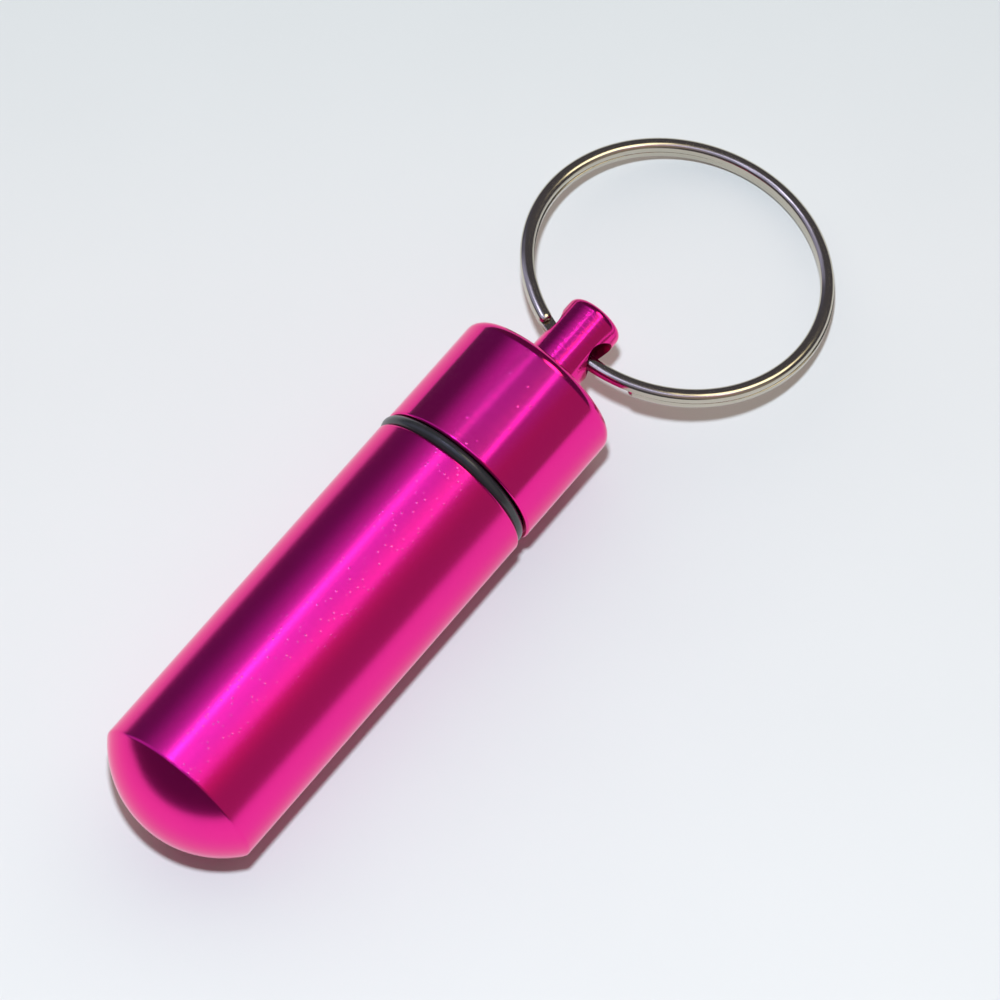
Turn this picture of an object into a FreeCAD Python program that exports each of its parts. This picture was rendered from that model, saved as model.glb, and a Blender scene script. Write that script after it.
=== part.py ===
# Pill fob keychain: a threaded aluminium capsule with a screw cap, a rubber seal and a split ring.
# Lengths are millimetres and angles are degrees. The capsule lies on its side along X, dome end first,
# on the plane Z = 0, and the far side of the split ring leans on the same plane.

import FreeCAD
import Part
import Sketcher
import math
import os

Vector = FreeCAD.Vector

# How close a circle must be to a named place to count as lying there
NEAR = 0.001

# Driving sizes, each written once
SIZES = {
    # Barrel
    "barrel_diameter": 14.0,
    "barrel_length": 35.6,
    "dome_height": 4.0,
    "dome_edge": 0.3,
    "shoulder_bevel": 0.2,
    "neck_length": 6.0,
    "neck_wall": 0.8,
    "mouth_bevel": 0.25,
    "bore_floor": 2.4,
    "drill_point_angle": 118.0,
    # Seal between the barrel's shoulder and the cap's rim
    "seal_section": 1.0,
    "seal_inset": 0.05,
    "seal_slack": 0.25,
    "seal_gap": 0.03,
    # Screw cap with its turned stem
    "thread_play": 0.1,
    "head_gap": 3.57,
    "head_thickness": 1.8,
    "head_edge": 0.9,
    "rim_bevel": 0.2,
    "rim_lead_in": 0.3,
    "hole_lift": 2.45,
    "hole_play": 1.0,
    "stem_wall": 0.8,
    "stem_tip_wall": 1.27,
    "stem_bevel": 0.55,
    # Split ring of flat wire
    "ring_diameter": 25.0,
    "wire_width": 1.0,
    "wire_height": 0.75,
    "wire_bevel": 0.22,
    "turn_gap": 0.45,
    "upper_end_angle": 14.0,
    "lower_end_angle": 26.0,
    "jog_margin_angle": 3.5,
    # How the ring lies in the stem's hole
    "ring_slew_angle": 7.4,
    "seat_clearance": 0.5,
    "seat_drop": 0.15,
}

# Sizes and places worked out from the driving ones; places are measured from the tip of the dome
DERIVED = {
    "barrel_radius": "barrel_diameter / 2",
    "seal_radius": "barrel_radius - seal_inset - seal_section / 2",
    "neck_radius": "seal_radius - seal_section / 2 - seal_slack",
    "bore_radius": "neck_radius - neck_wall",
    "neck_end": "barrel_length + neck_length",
    "bore_start": "bore_floor + bore_radius / tan(drill_point_angle / 2)",
    "seal_place": "barrel_length + seal_gap + seal_section / 2",
    "rim_place": "barrel_length + seal_section + 2 * seal_gap",
    "head_inside": "neck_end + head_gap",
    "head_place": "head_inside + head_thickness",
    "cap_bore_radius": "neck_radius + thread_play",
    "cap_wall": "barrel_radius - cap_bore_radius",
    "stack_height": "2 * wire_height + turn_gap",
    "hole_radius": "(sqrt(wire_width ^ 2 + stack_height ^ 2) + hole_play) / 2",
    "hole_place": "head_place + hole_lift + hole_radius",
    "stem_radius": "hole_radius + stem_wall",
    "stem_end": "hole_place + hole_radius + stem_tip_wall",
    "ring_radius": "ring_diameter / 2",
    "wire_radius": "ring_radius - wire_width / 2",
    "seat_back": "hole_radius - wire_width / 2 - seat_clearance",
    "ring_reach": "wire_radius * cos(ring_slew_angle) - seat_back",
    "wire_corner": "min(wire_bevel; 0.45 * wire_width; 0.45 * wire_height)",
    "lean_run": "ring_reach + ring_radius - wire_corner",
    "lean_rise": "seat_drop + stack_height / 2",
    "lean_sine": "barrel_radius / sqrt(lean_run ^ 2 + lean_rise ^ 2)",
    "ring_lean_angle": "asin(lean_sine) / 1 deg - atan(lean_rise / lean_run) / 1 deg",
    "ring_x": "hole_place + ring_reach * cos(ring_lean_angle) - seat_drop * sin(ring_lean_angle)",
    "ring_z": "barrel_radius - ring_reach * sin(ring_lean_angle) - seat_drop * cos(ring_lean_angle)",
    "corner_rise": "stack_height / 2 - wire_corner",
    "far_end": "ring_x + ring_radius * cos(ring_lean_angle) + corner_rise * sin(ring_lean_angle)",
    "part_start": "-far_end / 2",
    "axis_side": "wire_radius * sin(ring_slew_angle)",
}


def make_sheet(doc):
    """Spreadsheet with the driving sizes as plain numbers and the derived ones as formulas."""
    sheet = doc.addObject("Spreadsheet::Sheet", "Sizes")
    cells = [(name, str(value)) for name, value in SIZES.items()]
    cells += [(name, "=" + formula) for name, formula in DERIVED.items()]
    for row, (name, content) in enumerate(cells, 1):
        sheet.set("A%d" % row, name)
        sheet.set("B%d" % row, content)
        sheet.setAlias("B%d" % row, name)
    doc.recompute()
    return sheet


doc = FreeCAD.newDocument("pill_fob")
sheet = make_sheet(doc)


def size(name):
    """Value of a named size, or zero for a point on an axis."""
    if name is None:
        return 0.0
    value = sheet.get(name)
    return float(getattr(value, "Value", value))


# Sketch and feature helpers

def sketch_on(body, name, role):
    """Empty sketch on one of the body's own origin planes."""
    sketch = body.newObject("Sketcher::SketchObject", name)
    plane = next(item for item in body.Origin.OriginFeatures if item.Role == role)
    sketch.AttachmentSupport = (plane, [""])
    sketch.MapMode = "FlatFace"
    return sketch


def tie(sketch, kind, place, name):
    """Dimension bound to a named size."""
    index = sketch.addConstraint(Sketcher.Constraint(kind, *place, size(name)))
    sketch.setExpression("Constraints[%d]" % index, "Sizes." + name)


def locate(sketch, geometry, vertex, along, away):
    """Ties a vertex to a named place along X and a named distance from it, or to the axis itself."""
    if along is None:
        sketch.addConstraint(Sketcher.Constraint("PointOnObject", geometry, vertex, -2))
    else:
        tie(sketch, "DistanceX", (-1, 1, geometry, vertex), along)
    if away is None:
        sketch.addConstraint(Sketcher.Constraint("PointOnObject", geometry, vertex, -1))
    else:
        tie(sketch, "DistanceY", (-1, 1, geometry, vertex), away)


def dome_arc(tip, corner):
    """Arc centred on the axis, from the corner of the dome back to its tip."""
    rise = corner.x - tip.x
    radius = (corner.y ** 2 + rise ** 2) / (2 * rise)
    centre = Vector(tip.x + radius, 0, 0)
    start = math.atan2(corner.y, corner.x - centre.x)
    return Part.ArcOfCircle(Part.Circle(centre, Vector(0, 0, 1), radius), start, math.pi)


def half_section(body, name, corners, domed=False):
    """Closed outline of a turned piece; each corner is a named place along the axis and a named radius."""
    sketch = sketch_on(body, name, "XY_Plane")
    points = [Vector(size(along), size(away), 0) for along, away in corners]
    ends = [(1, 2) for point in points]
    for index, start in enumerate(points):
        end = points[(index + 1) % len(points)]
        if domed and index == 0:
            sketch.addGeometry(dome_arc(start, end))
            ends[0] = (2, 1)
        else:
            sketch.addGeometry(Part.LineSegment(start, end))
    for index in range(len(points)):
        after = (index + 1) % len(points)
        joint = (index, ends[index][1], after, ends[after][0])
        sketch.addConstraint(Sketcher.Constraint("Coincident", *joint))
    for index, (along, away) in enumerate(corners):
        locate(sketch, index, ends[index][0], along, away)
    if domed:
        sketch.addConstraint(Sketcher.Constraint("PointOnObject", 0, 3, -1))
    return sketch


def turn(body, kind, name, sketch):
    """Full revolution or groove of a half section about the X axis."""
    feature = body.newObject("PartDesign::" + kind, name)
    feature.Profile = sketch
    feature.ReferenceAxis = (sketch, ["H_Axis"])
    feature.Angle = 360
    doc.recompute()
    return feature


def round_edges(base, spots):
    """Names of the base's circular edges at the given places along the axis and radii."""
    names = []
    for index, edge in enumerate(base.Shape.Edges, 1):
        if edge.Degenerated or not isinstance(edge.Curve, Part.Circle):
            continue
        for along, away in spots:
            level = abs(edge.Curve.Center.x - size(along)) < NEAR
            if level and abs(edge.Curve.Radius - size(away)) < NEAR:
                names.append("Edge%d" % index)
    return names


def ease(body, kind, name, amount, spots):
    """Fillet or chamfer on the circular edges at the given spots."""
    base = body.Tip
    feature = body.newObject("PartDesign::" + kind, name)
    feature.Base = (base, round_edges(base, spots))
    feature.setExpression("Radius" if kind == "Fillet" else "Size", amount)
    doc.recompute()


def new_body(name):
    """Body whose own X axis is the capsule's axis, placed on the ground beside the ring's middle."""
    body = doc.addObject("PartDesign::Body", name)
    body.Label = name
    body.setExpression("Placement.Base.x", "Sizes.part_start")
    body.setExpression("Placement.Base.y", "Sizes.axis_side")
    body.setExpression("Placement.Base.z", "Sizes.barrel_radius")
    return body


# Barrel: domed capsule with a drilled bore and a plain neck for the thread

def make_barrel():
    body = new_body("barrel")
    outside = half_section(body, "barrel_outside", [
        (None, None),
        ("dome_height", "barrel_radius"),
        ("barrel_length", "barrel_radius"),
        ("barrel_length", "neck_radius"),
        ("neck_end", "neck_radius"),
        ("neck_end", None),
    ], domed=True)
    turn(body, "Revolution", "barrel_turning", outside)
    bore = half_section(body, "barrel_bore_outline", [
        ("bore_floor", None),
        ("bore_start", "bore_radius"),
        ("neck_end", "bore_radius"),
        ("neck_end", None),
    ])
    turn(body, "Groove", "barrel_bore", bore)
    mouth = [("neck_end", "neck_radius"), ("neck_end", "bore_radius")]
    ease(body, "Chamfer", "mouth_bevels", "min(Sizes.mouth_bevel; Sizes.neck_wall / 3)", mouth)
    ease(body, "Chamfer", "shoulder_edge", "Sizes.shoulder_bevel", [("barrel_length", "barrel_radius")])
    ease(body, "Fillet", "dome_rounding", "Sizes.dome_edge", [("dome_height", "barrel_radius")])
    return body


# Seal: rubber ring on the neck, between the shoulder and the cap's rim

def make_seal():
    body = new_body("o_ring")
    sketch = sketch_on(body, "seal_section_outline", "XY_Plane")
    centre = Vector(size("seal_place"), size("seal_radius"), 0)
    sketch.addGeometry(Part.Circle(centre, Vector(0, 0, 1), size("seal_section") / 2))
    locate(sketch, 0, 3, "seal_place", "seal_radius")
    tie(sketch, "Diameter", (0,), "seal_section")
    turn(body, "Revolution", "seal_turning", sketch)
    return body


# Screw cap: cup over the neck, with a stem on its head and a cross hole for the split ring

def make_cap():
    body = new_body("screw_cap")
    outside = half_section(body, "cap_outside", [
        ("rim_place", None),
        ("rim_place", "barrel_radius"),
        ("head_place", "barrel_radius"),
        ("head_place", "stem_radius"),
        ("stem_end", "stem_radius"),
        ("stem_end", None),
    ])
    turn(body, "Revolution", "cap_turning", outside)
    inside = half_section(body, "cap_inside_outline", [
        ("rim_place", None),
        ("rim_place", "cap_bore_radius"),
        ("head_inside", "cap_bore_radius"),
        ("head_inside", None),
    ])
    turn(body, "Groove", "cap_inside", inside)
    lead_in = "min(Sizes.rim_lead_in; Sizes.cap_wall / 3)"
    ease(body, "Chamfer", "rim_inner_edge", lead_in, [("rim_place", "cap_bore_radius")])
    ease(body, "Chamfer", "rim_outer_edge", "Sizes.rim_bevel", [("rim_place", "barrel_radius")])
    ease(body, "Fillet", "head_rounding", "Sizes.head_edge", [("head_place", "barrel_radius")])
    ease(body, "Chamfer", "stem_tip_edge", "Sizes.stem_bevel", [("stem_end", "stem_radius")])
    drill = sketch_on(body, "hole_outline", "XZ_Plane")
    centre = Vector(size("hole_place"), 0, 0)
    drill.addGeometry(Part.Circle(centre, Vector(0, 0, 1), size("hole_radius")))
    locate(drill, 0, 3, "hole_place", None)
    tie(drill, "Radius", (0,), "hole_radius")
    before = body.Shape.Volume
    hole = body.newObject("PartDesign::Pocket", "stem_hole")
    hole.Profile = drill
    hole.Type = "ThroughAll"
    hole.Midplane = True
    doc.recompute()
    if body.Shape.Volume > before - size("hole_radius") ** 2 * size("stem_radius"):
        raise RuntimeError("the hole doesn't pass through the stem")
    return body


# Split ring: one flat wire wound almost twice, stepping down a layer inside the stem's hole

def ring_point(angle, height):
    """Point of the wire's middle line in the ring's own frame, at an angle from its far side."""
    turned = math.radians(angle)
    return Vector(size("wire_radius") * math.cos(turned), size("wire_radius") * math.sin(turned), height)


def ring_tangent(angle):
    """Direction of the wire as it winds with falling angle."""
    turned = math.radians(angle)
    return Vector(math.sin(turned), -math.cos(turned), 0)


def level_turn(start, end, height, pieces=4):
    """Arcs, each of about a quarter turn, along one level layer of the ring."""
    edges = []
    step = (end - start) / pieces
    for index in range(pieces):
        first = start + index * step
        spots = [ring_point(first + share * step, height) for share in (0, 0.5, 1)]
        edges.append(Part.Arc(*spots).toShape())
    return edges


def tangent_arc(start, corner, end):
    """Arc from start to end that touches the lines to the corner, which is equally far from both."""
    middle = (start + end) * 0.5
    cosine = (end - start).Length / 2 / (corner - start).Length
    crown = middle + (corner - middle) * (cosine / (1 + cosine))
    return Part.Arc(start, crown, end).toShape()


def biarc(start, start_way, end, end_way):
    """Two arcs that leave start and reach end in the given directions and share a tangent between."""
    span = end - start
    ways = start_way + end_way
    square = ways.dot(ways) - 4
    slope = -2 * span.dot(ways)
    rest = span.dot(span)
    reach = (-slope - math.sqrt(slope ** 2 - 4 * square * rest)) / (2 * square)
    first = start + start_way * reach
    second = end - end_way * reach
    middle = (first + second) * 0.5
    return [tangent_arc(start, first, middle), tangent_arc(middle, second, end)]


def wire_section(centre, across, up):
    """Outline of the flat wire with bevelled corners, square to its run."""
    bevel = size("wire_corner")
    width = size("wire_width") / 2
    height = size("wire_height") / 2
    corners = [
        (width, height - bevel),
        (width - bevel, height),
        (bevel - width, height),
        (-width, height - bevel),
        (-width, bevel - height),
        (bevel - width, -height),
        (width - bevel, -height),
        (width, bevel - height),
    ]
    spots = [centre + across * x + up * y for x, y in corners]
    return Part.makePolygon(spots + spots[:1])


def least_gap(path):
    """Least clear height between stretches of the wire that lie over half a turn apart along it."""
    spots = path.discretize(Number=721)
    half_turn = round(720 * math.pi * size("wire_radius") / path.Length)
    nearest = min(
        spots[first].distanceToPoint(spots[second])
        for first in range(len(spots))
        for second in range(first + half_turn, len(spots))
    )
    return nearest - size("wire_height")


def make_ring():
    layer = (size("wire_height") + size("turn_gap")) / 2
    hole = 180 - size("ring_slew_angle")
    jog = size("upper_end_angle") - size("jog_margin_angle")
    start = hole - size("upper_end_angle")
    jog_start = hole + jog - 360
    jog_end = hole - jog - 360
    end = hole + size("lower_end_angle") - 720
    step_down = biarc(
        ring_point(jog_start, layer), ring_tangent(jog_start),
        ring_point(jog_end, -layer), ring_tangent(jog_end),
    )
    edges = level_turn(start, jog_start, layer) + step_down + level_turn(jog_end, end, -layer)
    path = Part.Wire(edges)
    # Stepping down rolls the section by the drop over the radius, so half of that is taken at each end
    roll = math.degrees(layer / size("wire_radius"))
    rolling = FreeCAD.Rotation(ring_tangent(start), roll)
    away = Vector(ring_point(start, 0)).normalize()
    section = wire_section(ring_point(start, layer), rolling * away, rolling * Vector(0, 0, 1))
    solid = path.makePipeShell([section], True, False)
    wanted = Part.Face(section).Area * path.Length
    if abs(solid.Volume / wanted - 1) > 0.01:
        raise RuntimeError("the ring's volume isn't its section times its length")
    print("split_ring: least gap to itself %.3f mm, wire length %.1f mm" % (least_gap(path), path.Length))
    ring = doc.addObject("Part::Feature", "split_ring")
    ring.Label = "split_ring"
    ring.Shape = solid
    base = Vector(size("part_start") + size("ring_x"), 0, size("ring_z"))
    ring.Placement = FreeCAD.Placement(base, FreeCAD.Rotation(Vector(0, 1, 0), size("ring_lean_angle")))
    return ring


# Build, test and write

def main():
    pieces = [make_barrel(), make_seal(), make_cap(), make_ring()]
    doc.recompute()
    for item in doc.Objects:
        if "Invalid" in item.State or "Error" in item.State:
            raise RuntimeError("%s failed: %s" % (item.Name, item.State))
    for piece in pieces:
        if piece.Shape.isNull() or not piece.Shape.isValid() or len(piece.Shape.Solids) != 1:
            raise RuntimeError("%s isn't one valid solid" % piece.Label)
    os.makedirs("parts", exist_ok=True)
    for piece in pieces:
        piece.Shape.exportStep("parts/%s.step" % piece.Label)
        print("%s: %.2f mm3" % (piece.Label, piece.Shape.Volume))
    for name in ("part_start", "axis_side", "hole_place", "hole_radius", "ring_x", "ring_z", "ring_lean_angle"):
        print("%s: %.4f" % (name, size(name)))


main()
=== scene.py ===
import math
from functools import partial, partialmethod

import bmesh
import bpy
from mathutils import Matrix, Vector


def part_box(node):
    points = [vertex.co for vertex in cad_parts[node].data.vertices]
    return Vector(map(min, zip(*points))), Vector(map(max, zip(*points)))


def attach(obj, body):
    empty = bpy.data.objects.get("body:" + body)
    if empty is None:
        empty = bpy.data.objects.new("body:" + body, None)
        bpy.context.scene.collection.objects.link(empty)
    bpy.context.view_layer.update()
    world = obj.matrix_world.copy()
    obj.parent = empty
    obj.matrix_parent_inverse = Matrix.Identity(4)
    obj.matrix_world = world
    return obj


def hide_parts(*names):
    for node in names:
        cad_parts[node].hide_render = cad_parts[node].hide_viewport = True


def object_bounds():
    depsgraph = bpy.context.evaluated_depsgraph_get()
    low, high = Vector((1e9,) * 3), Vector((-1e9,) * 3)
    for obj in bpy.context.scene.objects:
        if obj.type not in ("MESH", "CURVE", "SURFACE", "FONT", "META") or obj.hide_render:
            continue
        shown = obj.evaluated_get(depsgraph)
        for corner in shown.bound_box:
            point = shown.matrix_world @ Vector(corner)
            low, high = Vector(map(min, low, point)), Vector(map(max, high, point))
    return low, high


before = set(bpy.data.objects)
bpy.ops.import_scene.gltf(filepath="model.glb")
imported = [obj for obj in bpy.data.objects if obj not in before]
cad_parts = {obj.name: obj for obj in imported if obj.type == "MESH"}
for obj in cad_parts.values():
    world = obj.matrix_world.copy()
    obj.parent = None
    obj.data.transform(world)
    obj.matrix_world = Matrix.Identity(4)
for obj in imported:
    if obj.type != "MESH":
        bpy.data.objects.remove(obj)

bl_info = {
    "name": "Pill fob keychain",
    "version": (1, 0, 0),
    "blender": (4, 5, 0),
    "location": "View3D > Sidebar > Pill fob",
    "description": "Builds an anodised pill capsule with its screw cap, rubber seal and split ring",
    "category": "Add Mesh",
}

MM = 0.001
UM = 0.000001
FULL_TURN = 2 * math.pi
CAD_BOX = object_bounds()

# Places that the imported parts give
BARREL_LOW, BARREL_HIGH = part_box("barrel")
SEAL_LOW, SEAL_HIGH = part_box("o_ring")
CAP_LOW, CAP_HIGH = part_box("screw_cap")
TIP_X = BARREL_LOW.x
AXIS_Y = (BARREL_LOW.y + BARREL_HIGH.y) / 2
AXIS_Z = (BARREL_LOW.z + BARREL_HIGH.z) / 2
RADIUS = (BARREL_HIGH.z - BARREL_LOW.z) / 2

# How finely the pieces are divided, how near points merge, and the angles above which an edge is sharp
AROUND = 192
ARC_STEPS = 6
DOME_STEPS = 56
SEAL_SIDES = 40
WIRE_STEPS = 720
HOLE_SIDES = 96
EDGE_SUPPORT = 0.04 * MM
MERGE = 0.0005 * MM
HOLE_MERGE = 0.01 * MM
METAL_SHARP, WIRE_SHARP, RUBBER_SHARP = 28.0, 40.0, 60.0

# Threads: rows in one pitch, the stretch where a groove runs out, and the half widths of its floor and
# its mouth as shares of the pitch
THREAD_ROWS = 20
THREAD_RUN = 0.35 * MM
NECK_THREAD = {"Narrow": 0.10, "Wide": 0.35, "Rows": 150}
CAP_THREAD = {"Narrow": 0.11, "Wide": 0.36, "Rows": 190}

# Hidden edges and lands of the turned pieces
BORE_EDGE = 0.1 * MM
CAP_LAND = 0.2 * MM
CAP_RELIEF = 0.6 * MM
HEAD_INSIDE_EDGE = 0.25 * MM

# Margins that tell the stem from the head, and the hole's wall from the stem's outside
HEAD_MARGIN = 0.02 * MM
FINISH_MARGIN, WALL_MARGIN, WALL_FACING = 1.01, 1.001, 0.9

# Which way the slack seal sits, and how far its section is pressed flat
SEAL_SIDE = Vector((0.0, 0.97, 0.24))
SEAL_FLAT, SEAL_SPREAD = 0.97, 1.03

# How blunt the wire's cut ends stay
BLUNT = 0.3

# Side of the capsule, tilted towards the key lamp, where dust lies and its specks are painted light as
# glints, and the slope and offset of its edge
DUST_AND_GLINT_SIDE = (0.0, -0.122, 0.9925)
DUST_AND_GLINT_EDGE = (16.0, -15.0)

# Floor: reach, gap under the part, and where the key lamp's falloff is painted into its tone along the
# camera's bearing (start, stretch)
FLOOR_REACH = 4.0
FLOOR_GAP = 0.02 * MM
PAINTED_FALLOFF_BANDS = ((-0.045, 0.057), (0.02, 0.035))
# How much lighter the floor near the camera is painted, for the key lamp's falloff
NEAR_FLOOR_PAINTED_LIGHT = 1.075

# Room that the metal mirrors. A row is (from, to, level at from, level at to). In a list of rows against
# a direction's X, each also says how it joins the rows before it, and whether it is a line or eased.
LINE, EASE = "LINEAR", "SMOOTHSTEP"
CEILING = (
    ("ADD", LINE, 0.213, 0.243, 0.95, 0.0),
    ("ADD", LINE, 0.245, 0.262, 0.50, 0.37),
    ("ADD", LINE, 0.262, 0.284, 0.0, 0.10),
    ("SUBTRACT", EASE, 0.284, 0.292, 0.0, 0.155),
    ("MULTIPLY", EASE, 0.04, 0.2, 0.25, 1.0),
)
CEILING_SLANT = (107.0, -24.7)
CEILING_STEP = (0.286, 0.292, 0.0, 8.0)
CEILING_LEFT = (-34.0, -23.0, 0.0, 1.0)
CEILING_RIGHT = (0.205, 0.285, -10.5, 9.5)
LEFT_WALL = (-70.0, -27.0, 0.10, 0.48)
RIGHT_WALL = (0.315, 0.27, 0.24)
RIGHT_WALL_START = (15.0, 46.0, 0.0, 1.0)
RIGHT_WALL_RED_START = (15.0, 68.0, 0.0, 1.0)
COOLNESS = (
    ("ADD", EASE, 0.222, 0.25, 0.5, 0.0),
    ("ADD", EASE, 0.26, 0.305, 1.1, 1.6),
)
BEYOND_CAP = (
    ("ADD", EASE, 0.322, 0.336, 0.0, 3.4),
    ("MULTIPLY", EASE, 0.345, 0.40, 1.0, 0.0),
)
LAMP_STRIPS = (
    {
        "place": (("ADD", LINE, 0.21, 0.31, -22.0, -15.0),),
        "level": (("ADD", LINE, 0.212, 0.27, 6.4, 0.08), ("MULTIPLY", EASE, 0.13, 0.2, 0.1, 1.0)),
        "edge": (0.0, 5.5, 1.0, 0.0),
    },
    {
        "place": (("ADD", LINE, 0.205, 0.275, -6.0, 26.0), ("ADD", LINE, 0.287, 0.325, 0.0, -4.0)),
        "level": (("ADD", LINE, 0.23, 0.28, 0.6, 1.8), ("SUBTRACT", EASE, 0.286, 0.291, 0.0, 1.24)),
        "edge": (0.0, 6.5, 1.0, 0.0),
    },
)
ROOM_ENDS = (0.34, 0.52, 1.0, 0.0)
ROOM_END_TONE = (0.085, 0.08, 0.098)
RING_LAMP_SIDE = (0.56, -0.2, 0.80)
RING_LAMP_EDGE = (0.961, 0.990, 0.0, 1.0)
RING_LAMP_TONE = (3.0, 2.7, 1.95)

# Soft light against the side it comes from, as shares of its strength, and the tones of the lights
FILL_SIDES, FILL_SHARES = (-0.35, 0.55), (0.2, 1.95)
FILL_TONE = (1.30, 1.15, 0.97, 1.0)
GROUND_TONE = (0.86, 0.87, 0.90, 1.0)
KEY_TONE = (0.823, 0.936, 1.0)


def number(name, description, default, **options):
    """Number property, or one for a point or a colour where the default has several numbers."""
    kind = bpy.props.FloatProperty
    if isinstance(default, tuple):
        kind, options["size"] = bpy.props.FloatVectorProperty, len(default)
    return kind(name=name, description=description, default=default, **options)


def turn(name, description, default):
    """Angle property, given in degrees."""
    return number(name, description, math.radians(default), unit="ROTATION")


# Properties in metres, where a place may be negative or a point, and of linear colours
place = partial(number, precision=5, unit="LENGTH")
length = partial(place, min=0.0)
colour = partial(number, min=0.0, max=1.0, subtype="COLOR")


class CapsuleSizes(bpy.types.PropertyGroup):
    """Sizes of the barrel, the seal and the screw cap, along the capsule from the tip of its dome"""

    radius: length("Radius", "Outside radius of the barrel and the cap", RADIUS)
    dome_height: length("Dome height", "How far the dome stands out from its crease", 3.5 * MM)
    dome_edge: length("Dome edge", "Rounding of the crease between dome and barrel", 0.5 * MM)
    shoulder: length("Shoulder", "Place of the barrel's shoulder", 35.6 * MM)
    shoulder_edge: length("Shoulder edge", "Rounding of the shoulder", 0.2 * MM)
    neck_end: length("Neck end", "Place of the barrel's mouth", BARREL_HIGH.x - TIP_X)
    neck_radius: length("Neck radius", "Outside radius of the neck's thread", 5.7 * MM)
    neck_land: length("Neck land", "Plain stretch of neck under the seal", 1.3 * MM)
    bore_radius: length("Bore radius", "Radius of the drilled inside", 4.9 * MM)
    bore_floor: length("Bore floor", "Place of the drill's point", 2.4 * MM)
    bore_start: length("Bore start", "Place where the drill's cone ends", 5.344 * MM)
    mouth_bevel: length("Mouth bevel", "Bevel of the mouth's two edges", 0.25 * MM)
    rim: length("Rim", "Place of the cap's rim", CAP_LOW.x - TIP_X)
    rim_edge: length("Rim edge", "Rounding of the cap's rim", 0.2 * MM)
    rim_lead_in: length("Rim lead in", "Bevel inside the cap's rim", 0.3 * MM)
    cap_bore_radius: length("Cap bore radius", "Inside radius of the cap", 5.8 * MM)
    head_inside: length("Head inside", "Place of the inside of the cap's head", 45.17 * MM)
    head: length("Head", "Place of the cap's flat head", 46.97 * MM)
    head_edge: length("Head edge", "Rounding of the head", 0.9 * MM)
    stem_radius: length("Stem radius", "Radius of the stem on the head", 2.3957 * MM)
    stem_end: length("Stem end", "Place of the stem's tip", CAP_HIGH.x - TIP_X)
    stem_edge: length("Stem edge", "Rounding of the stem's tip", 0.6 * MM)
    stem_root: length("Stem root", "Fillet where the stem meets the head", 0.12 * MM)
    hole: length("Hole", "Place of the cross hole in the stem", 51.0157 * MM)
    hole_radius: length("Hole radius", "Radius of the cross hole", 1.5957 * MM)
    hole_edge: length("Hole edge", "Broken edge round the cross hole", 0.12 * MM)
    pitch: length("Thread pitch", "Rise of the thread in one turn", 1.0 * MM)
    thread_depth: length("Thread depth", "Depth of the thread's groove", 0.42 * MM)
    seal_place: length("Seal place", "Place of the seal's middle", (SEAL_LOW.x + SEAL_HIGH.x) / 2 - TIP_X)
    seal_radius: length("Seal radius", "Radius of the seal's middle line", 6.45 * MM)
    seal_section: length("Seal section", "Thickness of the seal", SEAL_HIGH.x - SEAL_LOW.x)
    seal_shift: length("Seal shift", "How far the slack seal sits off the axis", 0.17 * MM)


class RingSizes(bpy.types.PropertyGroup):
    """Sizes of the split ring and how it lies"""

    radius: length("Radius", "Radius of the wire's middle line", 12.0 * MM)
    wire_width: length("Wire width", "Width of the flat wire across the ring", 1.08 * MM)
    wire_height: length("Wire height", "Height of one turn", 0.75 * MM)
    cut_edge: length("Cut edge", "Rounding of the wire's cut ends", 0.5 * MM)
    taper: length("Taper", "How far the upper end is thinned", 0.22 * MM)
    turn_gap: length("Turn gap", "Gap between the two turns", 0.015 * MM)
    shift_x: place("Shift X", "How far the lower turn lies off the upper one, along the capsule", 0.1 * MM)
    shift_y: place("Shift Y", "How far the lower turn lies off the upper one, across the capsule", -0.09 * MM)
    centre_x: place("Centre X", "Middle of the ring along the capsule", 24.8157 * MM)
    centre_z: place("Centre Z", "Height of the ring's middle", 4.0216 * MM)
    lean: turn("Lean", "How far the ring leans down to the floor", 14.5147)
    slew: turn("Slew", "How far the stem's hole lies round the ring", 7.4)
    upper_end: turn("Upper end", "From the hole to the upper turn's cut end", 14.0)
    lower_end: turn("Lower end", "From the hole to the lower turn's cut end", 26.0)
    jog: turn("Jog", "Half of the stretch where the wire steps down", 10.5)
    taper_sweep: turn("Taper sweep", "Stretch over which the upper end is thinned", 16.0)


class FinishColours(bpy.types.PropertyGroup):
    """Colours of the finishes and of the stage"""

    anodised: colour("Anodised", "Dyed aluminium", (0.99, 0.012, 0.305))
    rubber: colour("Rubber", "Seal", (0.014, 0.014, 0.016))
    nickel: colour("Nickel", "Plated steel of the ring", (0.61, 0.57, 0.48))
    floor: colour("Floor", "Surface that the fob lies on", (0.735, 0.73, 0.757))
    # Floor tone away from the camera, painted darker and cooler for the key lamp's falloff
    far_floor: colour("Far floor", "The same surface, away from the camera", (0.672, 0.692, 0.718))


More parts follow.
